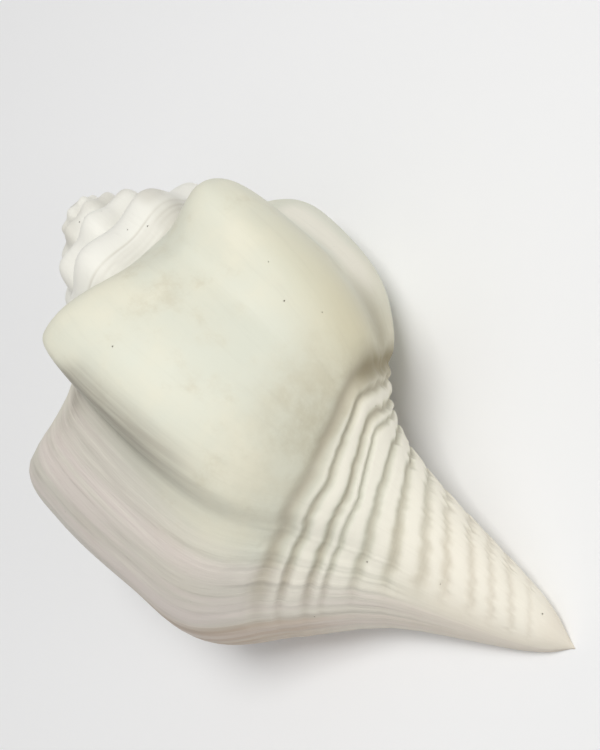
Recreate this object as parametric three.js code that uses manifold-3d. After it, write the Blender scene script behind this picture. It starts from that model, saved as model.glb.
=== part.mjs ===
// Conch shell: a heavy knobbed shell with a broad last whorl and a long canal, lying mouth down.
//
// The shell is one closed body of lime. Its outside is a surface of two parameters:
//   turn     growth angle in radians round the coiling axis: 0 at the outer lip, less towards the apex
//   station  place on the outline of a whorl: 0 on the suture, then the rows of OUTLINE, 1 to 9
// The same surface runs on under the lip as the inner wall of the mouth, down to the canal's end.
// Lengths are in millimetres and angles in degrees. +Z is up, +X runs from the apex to the canal's end.
import * as THREE from 'three';
import { mergeVertices } from 'three/addons/utils/BufferGeometryUtils.js';
import Module from 'manifold-3d';

// ---- driving dimensions -------------------------------------------------------------------------

const GROWTH = 0.0762;          // growth rate of the spiral, per radian of turn
const WHORLS = 4;               // whorls left above the lip: the oldest ones are worn away
const SUTURE_STATION = 3.39;    // where on a whorl's side the next whorl is laid
const SPIRE_STRETCH = 0.915;    // depth of the spire grows this much more slowly than its radius

// One whorl's outline where it meets the outer lip, from the suture to the canal's end. Each row gives
//   radius, depth   distance from the axis and depth below the apex
//   widen, lengthen how fast the two grew over the last turn (1 is the spiral's own rate)
//   flare, curl     how far the lip flares out there, and how far the canal's edge curls in
//   knob, rise      how much of a knob's height goes outwards there, and how much goes up
const OUTLINE = [
  row('ramp', 55, 77.5, { knob: 0.25 }),
  row('shoulder', 71, 85.5, { knob: 1, rise: 0.6 }),
  row('side', 76, 99.5, { lengthen: 0.82, flare: 0.02, knob: 0.93, rise: 0.1 }),
  row('belly', 76.5, 130.5, { widen: 1.15, lengthen: 0.69, flare: 0.05, knob: 0.67 }),
  row('base', 69, 159, { widen: 1.5, lengthen: 0.7, flare: 0.18, knob: 0.45 }),
  row('waist', 46.5, 181.5, { widen: 2.05, lengthen: 0.67, flare: 0.32, knob: 0.18, curl: 0.12 }),
  row('canal', 28, 204.5, { widen: 1.95, lengthen: 0.6, flare: 0.32, curl: 0.25 }),
  row('tip', 12.4, 240, { widen: 1.45, lengthen: 0.2, flare: -0.1, curl: 0.18 }),
  row('end', 0, 249, { lengthen: 0 }),
];
const FLARE_SPAN = 132;         // the lip's flare builds up over this last stretch of growth
const CURL_SPAN = 22;           // and here the canal's edge curls back in

// Knobs of the last whorl, newest first: where they stand, how far they rise, how far they lean towards
// the apex, and the hollow behind each: its depth and its place between this knob and the older one.
const KNOBS = [
  { turn: -36, height: 13.5, lean: 3.6, hollow: -5.2, hollowAt: 0.79 },
  { turn: -95, height: 8.2, lean: 5.1, hollow: -5, hollowAt: 0.68 },
  { turn: -157.5, height: 9, lean: -3.8, hollow: -12, hollowAt: 0.42 },
  { turn: -245, height: 16, lean: -16, hollow: -5, hollowAt: 0.5 },
];
const KNOB_HALF_WIDTH = 22;     // degrees over which a knob's lean fades to about a third
const LEAN_SHARE = [0.5, 1, 0.6, 0.3];        // how much of the lean the first four rows of OUTLINE feel

// Knobs of the older whorls, even in height, and the turns between them, shorter step by step.
const SPIRE_KNOB = { height: 5, hollow: -3, firstStep: 64, lastStep: 47, shrink: 0.92 };
const LIP_LIFT = { turn: 4, height: 9 };      // the lip's edge turns out a little
const OLDEST_SUTURE = { radius: 0.7, depth: 0.86 };   // top of the oldest whorl, in parts of its ramp's sizes
const APEX_RISE = 0.5;          // height of the worn apex above its rim

const WALL = 5.5;               // thickness of the wall at the lip; older walls are thinner by the growth
const HOLLOW_REACH = 585;       // how far the tube is hollow behind the lip
const CANAL_REACH = 90;         // behind this the canal is closed, and the hollow ends above it
const VAULT_END = 5.6;          // station where the hollow's outer wall ends there
const PILLAR_END = 7.8;         // and its inner wall
const CORNER_DROP = 0.35;       // how far, in stations, the hollow's upper corner lies below the suture
const CORNER_SPAN = 20;         // it drops that far over this stretch behind the lip
const CORNER_DRAW = { top: 0.15, foot: 0.25 };   // shares of the outer wall drawn to the hollow's two corners
const CLEARANCE = { hold: 0.2, fade: 0.2 };      // shares of it kept outside the whorl before, then let go
const EDGE_FADE = 1.6;          // stations over which the wall thins to nothing at the canal's end
const LIP_BULGE = 0.45;         // how far the lip's edge rounds forward, in parts of its thickness
const CANAL_BEND = { from: 150, x: -3.4, y: -3.7, power: 1.6 };   // the canal bends off the axis below here

// How the shell lies: it is turned about its axis, its axis dips to the canal's end, and it is turned flat.
const LIE = { spin: 70, dip: 72.95, heading: 180 };
const WORN = 1.0;               // depth of the flats that lying on a hard surface has worn

const ROWS_PER_TURN = 64;
const UPPER_COLUMNS = 6;        // from the suture to SUTURE_STATION
const LOWER_COLUMNS = 15;       // from there to the canal's end
const CANAL_STEP = 7.5;         // rows of the hollow, close together as far as the canal reaches
const HOLLOW_STEP = 15;         // and farther apart behind it
const LIP_STEPS = 3;            // round the lip's edge
const WELD = 1e-3;              // points this close are one
const FLOOR_SIZE = 1000;        // wider than the shell

// ---- helpers ------------------------------------------------------------------------------------

const TURN = 2 * Math.PI;
const SLACK = 1e-6;             // turns this close together are the same
const SLOPE_STEP = 0.02;        // stations either way that a slope is measured over
const radians = THREE.MathUtils.degToRad;

/** One row of OUTLINE. What it leaves out grows at the spiral's own rate and feels no knob or flare. */
function row(name, radius, depth, shape) {
  return { name, radius, depth, widen: 1, lengthen: 1, flare: 0, curl: 0, knob: 0, rise: 0, ...shape };
}

/** Smooth step from 0 to 1. */
function ease(x) {
  return THREE.MathUtils.smoothstep(x, 0, 1);
}

/** Numbers evenly spaced from start to stop, both included. */
function evenly(start, stop, steps) {
  return Array.from({ length: steps + 1 }, (_, i) => start + (stop - start) * i / steps);
}

// ---- knobs --------------------------------------------------------------------------------------

/** Crests and hollows of the shoulder from the oldest to the newest, as { turn, height }. */
function shoulderWave() {
  const knobs = KNOBS.map((knob) => ({ ...knob }));
  const { height, hollow, firstStep, lastStep, shrink } = SPIRE_KNOB;
  let step = firstStep;
  while (knobs.at(-1).turn > -360 * (WHORLS + 1.5)) {
    knobs.push({ turn: knobs.at(-1).turn - step, height, hollow, hollowAt: 0.5 });
    step = Math.max(lastStep, step * shrink);
  }
  const wave = [{ ...LIP_LIFT }];
  for (let i = 0; i < knobs.length - 1; i += 1) {
    const hollowTurn = THREE.MathUtils.lerp(knobs[i].turn, knobs[i + 1].turn, knobs[i].hollowAt);
    wave.push({ turn: knobs[i].turn, height: knobs[i].height });
    wave.push({ turn: hollowTurn, height: knobs[i].hollow });
  }
  return wave.reverse();
}

const WAVE = shoulderWave();

/** Height of the shoulder's wave at a turn, eased from one crest or hollow to the next. */
function knobHeight(turn) {
  const degrees = THREE.MathUtils.radToDeg(turn);
  let next = WAVE.findIndex((point) => point.turn >= degrees);
  next = Math.max(next < 0 ? WAVE.length - 1 : next, 1);
  const before = WAVE[next - 1];
  const after = WAVE[next];
  const share = ease((degrees - before.turn) / (after.turn - before.turn));
  return THREE.MathUtils.lerp(before.height, after.height, share);
}

/** How far the last whorl's knobs lean towards the apex at a turn. */
function knobLean(turn) {
  const degrees = THREE.MathUtils.radToDeg(turn);
  const bell = (knob) => Math.exp(-(((degrees - knob.turn) / KNOB_HALF_WIDTH) ** 2));
  return KNOBS.reduce((sum, knob) => sum + knob.lean * bell(knob), 0);
}

// ---- the shell's surface ------------------------------------------------------------------------

/** Radius and depth of the nine outline stations of the whorl that passes a turn. */
function stations(turn) {
  const lastWhorl = Math.max(turn, -TURN);
  const older = turn - lastWhorl;
  const wave = knobHeight(turn) * Math.exp(GROWTH * turn);
  const lean = knobLean(turn);
  const flare = ease(1 + turn / radians(FLARE_SPAN));
  const curl = ease(1 + turn / radians(CURL_SPAN));
  return OUTLINE.map((at, i) => {
    const widened = Math.exp(GROWTH * (at.widen * lastWhorl + older));
    const lengthened = Math.exp(GROWTH * (at.lengthen * lastWhorl + SPIRE_STRETCH * older));
    return [
      at.radius * widened * (1 + at.flare * flare - at.curl * curl) + wave * at.knob,
      at.depth * lengthened - wave * at.rise - lean * (LEAN_SHARE[i] ?? 0),
    ];
  });
}

/** Point of a curve through evenly numbered knots (Catmull-Rom), its ends carried on straight. */
function through(knots, position) {
  const last = knots.length - 1;
  const i = Math.min(Math.floor(position), last - 1);
  const f = position - i;
  const beyond = (end, next) => end.map((value, axis) => 2 * value - next[axis]);
  const before = i > 0 ? knots[i - 1] : beyond(knots[0], knots[1]);
  const after = i + 2 <= last ? knots[i + 2] : beyond(knots[last], knots[last - 1]);
  return knots[i].map((p1, axis) => {
    const [p0, p2, p3] = [before[axis], knots[i + 1][axis], after[axis]];
    return p1 + 0.5 * f * (p2 - p0 + f * (2 * p0 - 5 * p1 + 4 * p2 - p3 + f * (3 * p1 - p0 - 3 * p2 + p3)));
  });
}

/** Radius and depth of the outside. Station 0 is the suture, so it lies on the whorl before. */
function outline(turn, station) {
  const oldest = turn < -TURN * WHORLS - SLACK;
  const knots = stations(turn);
  const suture = oldest
    ? [OLDEST_SUTURE.radius * knots[0][0], OLDEST_SUTURE.depth * knots[0][1]]
    : outline(turn - TURN, SUTURE_STATION);
  return through([suture, ...knots], station);
}

/** Radius and depth of the mouth's outer wall: the outside moved in by the wall's thickness. */
function innerOutline(turn, station) {
  const [r0, d0] = outline(turn, Math.max(station - SLOPE_STEP, 0));
  const [r1, d1] = outline(turn, Math.min(station + SLOPE_STEP, OUTLINE.length));
  const length = Math.hypot(r1 - r0, d1 - d0);
  const thickness = WALL * Math.exp(GROWTH * turn) * ease((OUTLINE.length - station) / EDGE_FADE);
  const [radius, depth] = outline(turn, station);
  return [radius - thickness * (d1 - d0) / length, depth + thickness * (r1 - r0) / length];
}

/** Point in the shell's own frame: the axis is +Z, with the apex at the top. */
function place(turn, [radius, depth]) {
  const share = (depth - CANAL_BEND.from) / (OUTLINE.at(-1).depth - CANAL_BEND.from);
  const bend = Math.max(share, 0) ** CANAL_BEND.power;
  return new THREE.Vector3(
    radius * Math.cos(turn) + CANAL_BEND.x * bend,
    -radius * Math.sin(turn) + CANAL_BEND.y * bend,
    -depth,
  );
}

// ---- sheets of the closed body ------------------------------------------------------------------

const UPPER = evenly(0, SUTURE_STATION, UPPER_COLUMNS);
const LOWER = evenly(SUTURE_STATION, OUTLINE.length, LOWER_COLUMNS);
const WHOLE = [...UPPER, ...LOWER.slice(1)];

/** Spire: the strips of the older whorls that the next whorl leaves showing. */
function spireSheet() {
  const turns = evenly(-WHORLS - 1, -1, WHORLS * ROWS_PER_TURN).map((turn) => turn * TURN);
  return turns.map((turn) => UPPER.map((station) => place(turn, outline(turn, station))));
}

/** Outside of the last whorl, from the suture to the canal's end. */
function bodySheet() {
  const turns = evenly(-TURN, 0, ROWS_PER_TURN);
  return turns.map((turn) => WHOLE.map((station) => place(turn, outline(turn, station))));
}

/** How open the canal is at a turn: 1 at the lip, 0 from CANAL_REACH back. */
function canalOpening(turn) {
  return Math.max(1 + turn / radians(CANAL_REACH), 0) ** 2;
}

/** Radius and depth on the inner wall of the hollow: the whorl before, running on under the lip. */
function pillarOutline(turn, share) {
  const top = SUTURE_STATION + CORNER_DROP * ease(-turn / radians(CORNER_SPAN));
  const bottom = THREE.MathUtils.lerp(PILLAR_END, OUTLINE.length, canalOpening(turn));
  return outline(turn - TURN, THREE.MathUtils.lerp(top, bottom, share));
}

/** Point of the hollow's inner wall, from its upper corner to its lower one. */
function pillarPoint(turn, share) {
  return place(turn - TURN, pillarOutline(turn, share));
}

/** Point of the hollow's outer wall. Both its edges are drawn to the corners where the inner wall ends. */
function vaultPoint(turn, share) {
  const bottom = THREE.MathUtils.lerp(VAULT_END, OUTLINE.length, canalOpening(turn));
  const corner = pillarOutline(turn, 0);
  const wall = (at) => place(turn, underCorner(innerOutline(turn, at * bottom), at, corner));
  const toTop = pillarPoint(turn, 0).sub(wall(0));
  const toBottom = pillarPoint(turn, 1).sub(wall(1));
  return wall(share)
    .addScaledVector(toTop, 1 - ease(share / CORNER_DRAW.top))
    .addScaledVector(toBottom, ease(1 - (1 - share) / CORNER_DRAW.foot));
}

/** Keep a point of the outer wall below the hollow's upper corner and, near it, off the whorl before. */
function underCorner([radius, depth], share, corner) {
  const least = corner[0] * (1 - ease((share - CLEARANCE.hold) / CLEARANCE.fade));
  return [Math.max(radius, least), Math.max(depth, corner[1])];
}

/** Triangles of a grid of points, each cell cut along its shorter diagonal. */
function gridTriangles(rows) {
  const triangles = [];
  for (let i = 0; i + 1 < rows.length; i += 1) {
    for (let j = 0; j + 1 < rows[i].length; j += 1) {
      const [a, b, c, d] = [rows[i][j], rows[i][j + 1], rows[i + 1][j + 1], rows[i + 1][j]];
      const shorter = a.distanceToSquared(c) < b.distanceToSquared(d);
      triangles.push(...(shorter ? [[a, c, b], [a, d, c]] : [[a, d, b], [b, d, c]]));
    }
  }
  return triangles;
}

/** How far along a line of points each one lies, from 0 to 1. */
function lengthShares(line) {
  const sums = [0];
  for (let i = 1; i < line.length; i += 1) {
    sums.push(sums[i - 1] + line[i].distanceTo(line[i - 1]));
  }
  return sums.map((sum) => sum / sums.at(-1));
}

/** Triangles between two lines of points of different counts, kept level with each other by length. */
function bridgeTriangles(left, right) {
  const leftShares = lengthShares(left);
  const rightShares = lengthShares(right);
  const triangles = [];
  let i = 0;
  let j = 0;
  while (i + 1 < left.length || j + 1 < right.length) {
    const rightDone = j + 1 >= right.length;
    const leftIsNext = i + 1 < left.length && leftShares[i + 1] <= rightShares[j + 1];
    if (rightDone || leftIsNext) {
      triangles.push([left[i], right[j], left[i + 1]]);
      i += 1;
    } else {
      triangles.push([left[i], right[j], right[j + 1]]);
      j += 1;
    }
  }
  return triangles;
}

/** The rounded edge of the lip, from the outside over the growing front to the mouth's outer wall. */
function lipSheet() {
  return evenly(0, Math.PI, LIP_STEPS).map((angle) => WHOLE.map((station) => {
    const outer = place(0, outline(0, station));
    const inner = vaultPoint(0, station / OUTLINE.length);
    const forward = Math.sin(angle) * LIP_BULGE * outer.distanceTo(inner);
    const share = 0.5 - 0.5 * Math.cos(angle);
    return outer.lerp(inner, share).add(new THREE.Vector3(0, -forward, 0));
  }));
}

/** Cap over the worn apex: a fan from a point a little above its rim. */
function apexTriangles(spire) {
  const rim = spire.slice(0, ROWS_PER_TURN + 1).map((row) => row[0]);
  rim.push(...spire[0].slice(1, -1).reverse());
  const top = rim.reduce((sum, point) => sum.add(point), new THREE.Vector3()).divideScalar(rim.length);
  top.z = Math.max(...rim.map((point) => point.z)) + APEX_RISE;
  return rim.map((point, i) => [point, top, rim[(i + 1) % rim.length]]);
}

/** All triangles of the shell in its own frame. */
function shellTriangles() {
  const spire = spireSheet();
  const canalTurns = evenly(0, -CANAL_REACH, CANAL_REACH / CANAL_STEP);
  const deepTurns = evenly(-CANAL_REACH, -HOLLOW_REACH, (HOLLOW_REACH - CANAL_REACH) / HOLLOW_STEP);
  const turns = [...canalTurns, ...deepTurns.slice(1)].map(radians);
  const vault = turns.map((turn) => WHOLE.map((station) => vaultPoint(turn, station / OUTLINE.length)));
  const lowerShares = LOWER.map((station) => (station - LOWER[0]) / (LOWER.at(-1) - LOWER[0]));
  const pillar = turns.map((turn) => lowerShares.map((share) => pillarPoint(turn, share)));
  const flip = ([a, b, c]) => [a, c, b];
  return [
    ...gridTriangles(spire),
    ...gridTriangles(bodySheet()),
    ...gridTriangles(lipSheet()),
    ...gridTriangles(vault),
    ...gridTriangles(pillar).map(flip),
    ...bridgeTriangles(vault.at(-1), pillar.at(-1)),
    ...apexTriangles(spire),
  ];
}

/** Closed geometry from triangles whose shared corners agree; triangles shrunk to a line are left out. */
function closedGeometry(triangles) {
  const loose = new THREE.BufferGeometry().setFromPoints(triangles.flat());
  const merged = mergeVertices(loose, WELD);
  const index = Array.from(merged.index.array);
  const kept = [];
  for (let i = 0; i < index.length; i += 3) {
    const [a, b, c] = index.slice(i, i + 3);
    if (a !== b && b !== c && c !== a) {
      kept.push(a, b, c);
    }
  }
  merged.setIndex(kept);
  return merged;
}

// ---- lying on a surface -------------------------------------------------------------------------

const wasm = await Module();
wasm.setup();

/** Turn a geometry from the shell's own frame to the way it lies, its lowest point WORN below z = 0. */
function layDown(geometry) {
  geometry.rotateZ(radians(LIE.spin));
  geometry.rotateY(radians(LIE.dip));
  geometry.rotateZ(radians(LIE.heading));
  geometry.computeBoundingBox();
  const { min, max } = geometry.boundingBox;
  return geometry.translate(-(min.x + max.x) / 2, -(min.y + max.y) / 2, -min.z - WORN);
}

/** Cut off what lies below z = 0. */
function wearFlat(geometry) {
  const reach = 4 * WORN;
  const floor = new THREE.BoxGeometry(FLOOR_SIZE, FLOOR_SIZE, reach).translate(0, 0, -reach / 2);
  return fromSolid(toSolid(geometry).subtract(toSolid(floor)));
}

/** Solid of a closed geometry. */
function toSolid(geometry) {
  const bare = geometry.clone();
  bare.deleteAttribute('normal');
  bare.deleteAttribute('uv');
  const merged = mergeVertices(bare);
  return new wasm.Manifold(new wasm.Mesh({
    numProp: 3,
    vertProperties: new Float32Array(merged.attributes.position.array),
    triVerts: new Uint32Array(merged.index.array),
  }));
}

/** Geometry of a solid. */
function fromSolid(solid) {
  const mesh = solid.getMesh();
  const geometry = new THREE.BufferGeometry();
  geometry.setAttribute('position', new THREE.BufferAttribute(mesh.vertProperties, mesh.numProp));
  geometry.setIndex(new THREE.BufferAttribute(mesh.triVerts, 1));
  geometry.computeVertexNormals();
  return geometry;
}

// ---- the shell ----------------------------------------------------------------------------------

const lime = new THREE.MeshStandardMaterial({ color: 0xe4e1d2, roughness: 0.45, metalness: 0 });
const shell = new THREE.Mesh(wearFlat(layDown(closedGeometry(shellTriangles()))), lime);
shell.name = 'shell';

const conch = new THREE.Group();
conch.add(shell);

export default conch;
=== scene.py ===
"""A large spiral conch shell lying mouth down, grown in numpy in its CAD frame and shown in a studio."""
import logging
import math
from dataclasses import dataclass
from enum import Enum

import bpy
import numpy as np
from mathutils import Matrix, Vector


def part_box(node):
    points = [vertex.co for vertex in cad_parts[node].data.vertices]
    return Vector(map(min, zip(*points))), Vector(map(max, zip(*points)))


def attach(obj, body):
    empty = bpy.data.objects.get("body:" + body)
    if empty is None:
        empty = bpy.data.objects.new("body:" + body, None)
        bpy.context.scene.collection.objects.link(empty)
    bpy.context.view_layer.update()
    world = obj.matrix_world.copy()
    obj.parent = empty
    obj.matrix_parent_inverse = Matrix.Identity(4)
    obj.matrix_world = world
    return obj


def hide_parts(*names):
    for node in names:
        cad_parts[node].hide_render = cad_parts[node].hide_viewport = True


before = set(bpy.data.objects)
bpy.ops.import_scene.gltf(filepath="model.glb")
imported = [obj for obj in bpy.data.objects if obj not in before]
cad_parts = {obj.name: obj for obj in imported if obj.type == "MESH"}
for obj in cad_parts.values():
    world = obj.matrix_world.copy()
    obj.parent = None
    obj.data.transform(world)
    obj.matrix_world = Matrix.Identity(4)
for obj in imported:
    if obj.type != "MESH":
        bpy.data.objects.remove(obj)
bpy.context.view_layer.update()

LOG = logging.getLogger("conch")
NODE = "shell"
TURN = 2.0 * math.pi
MM = 0.001
RATE = 0.0762  # growth of the spiral, per radian of turn
SLOPE_STEP = 0.02  # stations either way that a slope is measured over
WELD = 4  # decimals of a millimetre that two points share when they are one point


def ease(x: np.ndarray | float) -> np.ndarray:
    """Smooth step: 0 up to 0, 1 from 1 on, and 3x² - 2x³ between."""
    x = np.clip(x, 0.0, 1.0)
    return x * x * (3.0 - 2.0 * x)


def bell(x: np.ndarray) -> np.ndarray:
    """Bell curve exp(-x²), 1 at the middle."""
    return np.exp(-(x * x))


def ripple(x: np.ndarray, period: float, seed: int) -> np.ndarray:
    """Smooth random wave: seeded heights from -1 to 1, one each period, eased from one to the next.

    Args:
        x: values along the wave.
        period: distance from one height to the next.
        seed: which random wave.

    Returns:
        Heights from -1 to 1.
    """
    heights = np.random.default_rng(seed).uniform(-1.0, 1.0, 1024)
    i = np.floor(x / period).astype(int)
    share = ease(x / period - i)
    return heights[i % 1024] * (1.0 - share) + heights[(i + 1) % 1024] * share


class Layer(Enum):
    """The side of the wall that a sheet of the shell is on."""

    OUTSIDE = "outside"
    LIP = "lip"
    VAULT = "vault"
    PILLAR = "pillar"


@dataclass(frozen=True)
class Station:
    """One place on a whorl's outline, measured in millimetres at the lip.

    The radius is from the axis and the depth below the apex. Widening and lengthening say how the two grew
    over the last turn, where 1 is the spiral's own rate. Flare is how far the lip opens out, knob and rise
    are the shares of a knob's height that go outwards and up, and curl is how far the canal's edge turns in.
    """

    radius: float
    depth: float
    widening: float = 1.0
    lengthening: float = 1.0
    flare: float = 0.0
    knob: float = 0.0
    rise: float = 0.0
    curl: float = 0.0


@dataclass(frozen=True)
class Knob:
    """A knob of the last whorl: its turn in degrees, its height and lean in millimetres, and its hollow.

    The hollow is the dip behind the knob: its height, and its place between this knob and the older one.
    """

    turn: float
    height: float
    lean: float
    hollow: float
    hollow_at: float


@dataclass(frozen=True)
class Growth:
    """The spiral the shell grew by, as functions of turn (radians, 0 at the lip) and station (0 to 9).

    Lengths are in millimetres and spans in degrees of turn behind the lip. The suture is the station that
    the next whorl is laid on, spire_stretch slows the depth of the older whorls, and oldest_suture gives
    the top of the oldest one in parts of its first station. A spire knob is its height and the hollow
    behind it; spire_steps are the first and last turn between two and how the turn shrinks. The lip is
    lifted at a turn by a height. The canal bends off the axis from a depth on, by a power. The hollow has
    a wall that thins over the last stations, and its outer wall is kept clear of the whorl before near
    its upper corner, and drawn to both corners over a share of its width.
    """

    rate: float = RATE
    whorls: float = 4.0
    suture: float = 3.39
    spire_stretch: float = 0.915
    stations: tuple[Station, ...] = (
        Station(55.0, 77.5, knob=0.25),
        Station(71.0, 85.5, knob=1.00, rise=0.6),
        Station(76.0, 99.5, lengthening=0.82, flare=0.02, knob=0.93, rise=0.1),
        Station(76.5, 130.5, 1.15, 0.69, flare=0.05, knob=0.67),
        Station(69.0, 159.0, 1.50, 0.70, flare=0.18, knob=0.45),
        Station(46.5, 181.5, 2.05, 0.67, flare=0.32, knob=0.18, curl=0.12),
        Station(28.0, 204.5, 1.95, 0.60, flare=0.32, curl=0.25),
        Station(12.4, 240.0, 1.45, 0.20, flare=-0.10, curl=0.18),
        Station(0.0, 249.0, 1.00, 0.00),
    )
    flare_span: float = 132.0
    curl_span: float = 22.0
    knobs: tuple[Knob, ...] = (
        Knob(-36.0, 13.5, 3.6, -5.2, 0.79),
        Knob(-95.0, 8.2, 5.1, -5.0, 0.68),
        Knob(-157.5, 9.0, -3.8, -12.0, 0.42),
        Knob(-245.0, 16.0, -16.0, -5.0, 0.5),
    )
    knob_half_width: float = 22.0
    lean_share: tuple[float, ...] = (0.5, 1.0, 0.6, 0.3)
    spire_knob: tuple[float, float] = (5.0, -3.0)
    spire_steps: tuple[float, float, float] = (64.0, 47.0, 0.92)
    lip_lift: tuple[float, float] = (4.0, 9.0)
    oldest_suture: tuple[float, float] = (0.7, 0.86)
    bend_from: float = 150.0
    bend: tuple[float, float] = (-3.4, -3.7)
    bend_power: float = 1.6
    wall: float = 5.5
    edge_fade: float = 1.6
    canal_reach: float = 90.0
    vault_end: float = 5.6
    pillar_end: float = 7.8
    corner_drop: float = 0.35
    corner_span: float = 20.0
    clear_hold: float = 0.2
    clear_fade: float = 0.2
    draw_top: float = 0.15
    draw_foot: float = 0.25

    def column(self, name: str) -> np.ndarray:
        """One value of every station, as an array."""
        return np.array([getattr(station, name) for station in self.stations])

    def shoulder_wave(self) -> tuple[np.ndarray, np.ndarray]:
        """Crests and hollows of the shoulder from the oldest to the newest.

        Returns:
            Their turns in radians and their heights in millimetres.
        """
        knobs = list(self.knobs)
        step, last_step, shrink = self.spire_steps
        while knobs[-1].turn > -360.0 * (self.whorls + 1.5):
            knobs.append(Knob(knobs[-1].turn - step, self.spire_knob[0], 0.0, self.spire_knob[1], 0.5))
            step = max(last_step, step * shrink)
        wave = [self.lip_lift]
        for knob, older in zip(knobs, knobs[1:]):
            hollow_turn = knob.turn + (older.turn - knob.turn) * knob.hollow_at
            wave += [(knob.turn, knob.height), (hollow_turn, knob.hollow)]
        turns, heights = np.array(wave[::-1]).T
        return np.radians(turns), heights

    def knob_height(self, turn: np.ndarray) -> np.ndarray:
        """Height of the shoulder's wave, eased from one crest or hollow to the next.

        Args:
            turn: one turn for each row, in radians.

        Returns:
            Heights in millimetres.
        """
        turns, heights = self.shoulder_wave()
        i = np.clip(np.searchsorted(turns, turn) - 1, 0, len(turns) - 2)
        share = ease((turn - turns[i]) / (turns[i + 1] - turns[i]))
        return heights[i] * (1.0 - share) + heights[i + 1] * share

    def knob_lean(self, turn: np.ndarray) -> np.ndarray:
        """How far the last whorl's knobs lean towards the apex: a bell round each knob."""
        degrees = np.degrees(turn)
        return sum(k.lean * bell((degrees - k.turn) / self.knob_half_width) for k in self.knobs)

    def knots(self, turn: np.ndarray) -> np.ndarray:
        """Radius and depth of the stations at each turn: an exponential of the turn, plus flare and knobs.

        Args:
            turn: one turn for each row, in radians.

        Returns:
            Array of turns by stations by 2.
        """
        last = np.maximum(turn, -TURN)[:, None]
        older = turn[:, None] - last
        wave = (self.knob_height(turn) * np.exp(self.rate * turn))[:, None]
        flare = ease(1.0 + turn / math.radians(self.flare_span))[:, None]
        curl = ease(1.0 + turn / math.radians(self.curl_span))[:, None]
        lean = np.zeros(len(self.stations))
        lean[: len(self.lean_share)] = self.lean_share
        radius = self.column("radius") * np.exp(self.rate * (self.column("widening") * last + older))
        radius = radius * (1.0 + self.column("flare") * flare - self.column("curl") * curl)
        stretch = self.column("lengthening") * last + self.spire_stretch * older
        depth = self.column("depth") * np.exp(self.rate * stretch)
        depth = depth - wave * self.column("rise") - self.knob_lean(turn)[:, None] * lean
        return np.stack([radius + wave * self.column("knob"), depth], axis=-1)

    def outline(self, turn: np.ndarray, station: np.ndarray) -> np.ndarray:
        """Radius and depth of the outside: a Catmull-Rom curve through the suture and the stations.

        Args:
            turn: one turn for each row.
            station: stations from 0 to 9, the same for every row or a row of them for each turn.

        Returns:
            Array of rows by stations by 2.
        """
        station = np.broadcast_to(station, (len(turn), np.shape(station)[-1]))
        knots = self.knots(turn)
        start = knots[:, 0] * self.oldest_suture
        laid = turn >= -TURN * self.whorls - 1e-6
        if laid.any():
            start[laid] = self.outline(turn[laid] - TURN, np.array([self.suture]))[:, 0]
        knots = np.concatenate([start[:, None], knots], axis=1)
        ends = 2.0 * knots[:, [0, -1]] - knots[:, [1, -2]]
        knots = np.concatenate([ends[:, :1], knots, ends[:, 1:]], axis=1)
        i = np.clip(np.floor(station).astype(int), 0, len(self.stations) - 1)
        share = (station - i)[..., None]
        rows = np.arange(len(turn))[:, None]
        p0, p1, p2, p3 = (knots[rows, i + k] for k in range(4))
        bend = 2.0 * p0 - 5.0 * p1 + 4.0 * p2 - p3
        twist = 3.0 * p1 - p0 - 3.0 * p2 + p3
        return p1 + 0.5 * share * (p2 - p0 + share * (bend + share * twist))

    def inner_outline(self, turn: np.ndarray, station: np.ndarray) -> np.ndarray:
        """The outline moved in, square to itself, by the wall's thickness, which dies out at the canal's end.

        Args:
            turn: one turn for each row, in radians.
            station: station of each point, or of each column.

        Returns:
            Array of rows by stations by 2.
        """
        last = float(len(self.stations))
        station = np.broadcast_to(station, (len(turn), np.shape(station)[-1]))
        before = self.outline(turn, np.maximum(station - SLOPE_STEP, 0.0))
        after = self.outline(turn, np.minimum(station + SLOPE_STEP, last))
        along = after - before
        along = along / np.linalg.norm(along, axis=-1, keepdims=True)
        thickness = self.wall * np.exp(self.rate * turn)[:, None] * ease((last - station) / self.edge_fade)
        inwards = np.stack([-along[..., 1], along[..., 0]], axis=-1)
        return self.outline(turn, station) + thickness[..., None] * inwards

    def place(self, turn: np.ndarray, profile: np.ndarray) -> np.ndarray:
        """Points in the shell's own frame, where the axis is +Z with the apex on top.

        The radius swings clockwise round the axis with the turn, and the canal bends sideways with depth.

        Args:
            turn: one turn for each row, in radians.
            profile: radius and depth of each point.

        Returns:
            Array of rows by stations by 3, in millimetres.
        """
        radius, depth = profile[..., 0], profile[..., 1]
        span = self.stations[-1].depth - self.bend_from
        bend = np.maximum((depth - self.bend_from) / span, 0.0) ** self.bend_power
        x = radius * np.cos(turn)[:, None] + self.bend[0] * bend
        y = -radius * np.sin(turn)[:, None] + self.bend[1] * bend
        return np.stack([x, y, -depth], axis=-1)

    def canal_opening(self, turn: np.ndarray) -> np.ndarray:
        """How open the canal is: 1 at the lip, falling as a square to 0."""
        return np.maximum(1.0 + turn / math.radians(self.canal_reach), 0.0) ** 2

    def pillar_station(self, turn: np.ndarray, share: np.ndarray) -> np.ndarray:
        """Stations of the whorl before that the hollow's inner wall runs along.

        Args:
            turn: one turn for each row, in radians.
            share: place across the wall, from 0 to 1.

        Returns:
            Array of turns by shares.
        """
        last = float(len(self.stations))
        top = self.suture + self.corner_drop * ease(-turn / math.radians(self.corner_span))
        bottom = self.pillar_end + (last - self.pillar_end) * self.canal_opening(turn)
        return top[:, None] + (bottom - top)[:, None] * share

    def pillar(self, turn: np.ndarray, share: np.ndarray) -> np.ndarray:
        """Inner wall of the hollow: the whorl before, running on under the lip, and the pillar below it."""
        return self.place(turn - TURN, self.outline(turn - TURN, self.pillar_station(turn, share)))

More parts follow.
